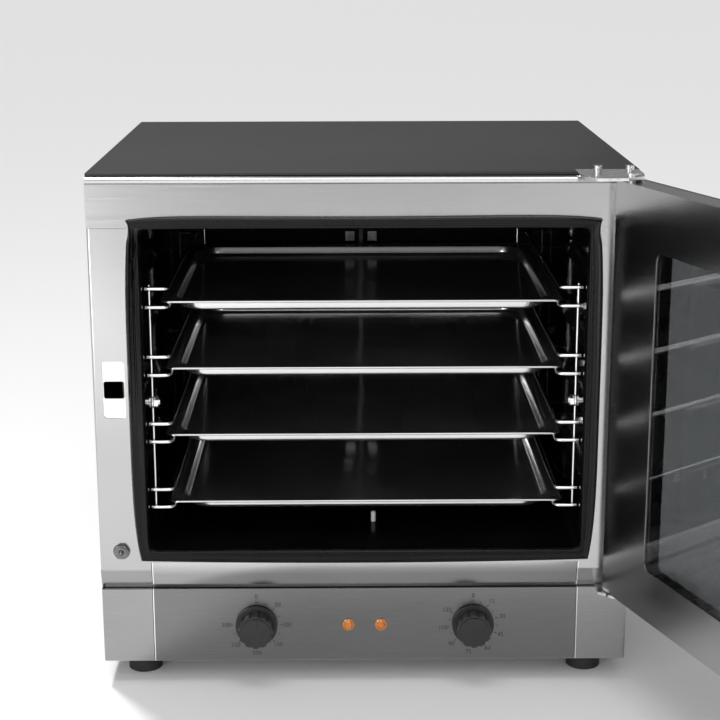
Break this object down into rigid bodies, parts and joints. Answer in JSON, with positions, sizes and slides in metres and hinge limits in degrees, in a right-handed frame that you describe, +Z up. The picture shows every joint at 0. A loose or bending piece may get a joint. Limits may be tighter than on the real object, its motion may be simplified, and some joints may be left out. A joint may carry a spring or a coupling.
{
  "type": "convection oven",
  "caption": "Countertop convection oven with a side-hinged glass door standing open, wire racks and slide-out trays, a rubber door seal and fans behind a baffle.",
  "frame": {"origin": "midway between the four feet, on the ground", "axes": "+Z up, +Y from the mouth into the oven, +X to the right seen from the front"},
  "size_m": [0.8081, 1.0675, 0.576],
  "materials": {
    "dark_enamel": "smooth dark grey enamel with a soft sheen",
    "brushed_steel": "fine satin stainless sheet",
    "zinc_steel": "bright plated steel",
    "foot_rubber": "moulded black rubber",
    "black_enamel": "glossy black enamel",
    "gasket_rubber": "satin black silicone rubber",
    "mineral_wool": "needled mineral wool",
    "chrome_wire": "bright chrome wire",
    "fan_steel": "plain stainless",
    "motor_black": "painted stator and end shields",
    "heater_sheath": "annealed heater sheath",
    "black_plastic": "fine-grained black plastic",
    "amber_lens": "clear amber lens",
    "inner_pane": "clear tempered glass",
    "outer_pane": "dark tinted tempered glass",
    "tray_steel": "polished stainless sheet"
  },
  "bodies": {
    "oven": {"top_panel": "dark_enamel", "left_side_panel": "brushed_steel", "right_side_panel": "brushed_steel", "rear_panel": "brushed_steel", "base_pan": "zinc_steel", "feet": "foot_rubber", "front_top_rail": "brushed_steel", "left_stile": "brushed_steel", "right_stile": "brushed_steel", "lower_apron": "brushed_steel", "control_fascia": "brushed_steel", "fascia_end_caps": "brushed_steel", "cavity_front_flange": "black_enamel", "cavity_ceiling": "black_enamel", "cavity_floor": "black_enamel", "cavity_left_wall": "black_enamel", "cavity_right_wall": "black_enamel", "cavity_rear_wall": "black_enamel", "door_gasket": "gasket_rubber", "insulation_wrap": "mineral_wool", "insulation_rear": "mineral_wool", "left_rack": "chrome_wire", "right_rack": "chrome_wire", "rack_studs": "zinc_steel", "rack_nuts": "zinc_steel", "left_baffle": "black_enamel", "right_baffle": "black_enamel", "baffle_bracket": "zinc_steel", "baffle_screws": "zinc_steel", "left_motor": "motor_black", "right_motor": "motor_black", "left_heater": "heater_sheath", "right_heater": "heater_sheath", "temperature_probe": "zinc_steel", "vent_pipe": "zinc_steel", "floor_stud": "chrome_wire", "hinge_plates": "zinc_steel", "hinge_pins": "zinc_steel", "hinge_screws": "zinc_steel", "striker_plate": "zinc_steel", "door_switch": "zinc_steel", "timer_body": "zinc_steel", "thermostat_body": "zinc_steel", "pilot_lamps": "amber_lens", "cable_gland": "black_plastic"},
    "door": {"door_frame": "brushed_steel", "inner_glass": "inner_pane", "outer_glass": "outer_pane", "glass_spacers": "gasket_rubber"},
    "handle": {"door_handle": "brushed_steel", "latch_cam": "zinc_steel"},
    "timer_dial": {"timer_knob": "black_plastic"},
    "thermostat_dial": {"thermostat_knob": "black_plastic"},
    "left_fan_wheel": {"left_fan": "fan_steel"},
    "right_fan_wheel": {"right_fan": "fan_steel"},
    "plunger": {"switch_plunger": "zinc_steel"},
    "tray_1_body": {"tray_1": "tray_steel"},
    "tray_2_body": {"tray_2": "tray_steel"},
    "tray_3_body": {"tray_3": "tray_steel"},
    "tray_4_body": {"tray_4": "tray_steel"}
  },
  "joints": [
    {"name": "door_hinge", "type": "hinge", "parent": "oven", "child": "door", "pos_m": [0.274, -0.271, 0.338], "axis": [0, 0, 1], "range_deg": [-110, 15]},
    {"name": "handle_turn", "type": "hinge", "parent": "door", "child": "handle", "pos_m": [0.4768, -0.77557, 0.3385], "axis": [-0.9397, -0.342, 0], "range_deg": [0, 90]},
    {"name": "timer_turn", "type": "hinge", "parent": "oven", "child": "timer_dial", "pos_m": [0.12, -0.26, 0.068], "axis": [0, 1, 0], "range_deg": [0, 300]},
    {"name": "thermostat_turn", "type": "hinge", "parent": "oven", "child": "thermostat_dial", "pos_m": [-0.12, -0.26, 0.068], "axis": [0, 1, 0], "range_deg": [0, 270]},
    {"name": "left_fan_spin", "type": "hinge", "parent": "oven", "child": "left_fan_wheel", "pos_m": [-0.104, 0.17, 0.336], "axis": [0, 1, 0], "continuous": true},
    {"name": "right_fan_spin", "type": "hinge", "parent": "oven", "child": "right_fan_wheel", "pos_m": [0.104, 0.17, 0.336], "axis": [0, 1, 0], "continuous": true},
    {"name": "switch_press", "type": "slide", "parent": "oven", "child": "plunger", "axis": [0, 1, 0], "range_m": [0, 0.003], "stiffness_N_per_m": 300},
    {"name": "tray_1_slide", "type": "slide", "parent": "oven", "child": "tray_1_body", "axis": [0, -1, 0], "range_m": [0, 0.3]},
    {"name": "tray_2_slide", "type": "slide", "parent": "oven", "child": "tray_2_body", "axis": [0, -1, 0], "range_m": [0, 0.3]},
    {"name": "tray_3_slide", "type": "slide", "parent": "oven", "child": "tray_3_body", "axis": [0, -1, 0], "range_m": [0, 0.3]},
    {"name": "tray_4_slide", "type": "slide", "parent": "oven", "child": "tray_4_body", "axis": [0, -1, 0], "range_m": [0, 0.3]}
  ]
}
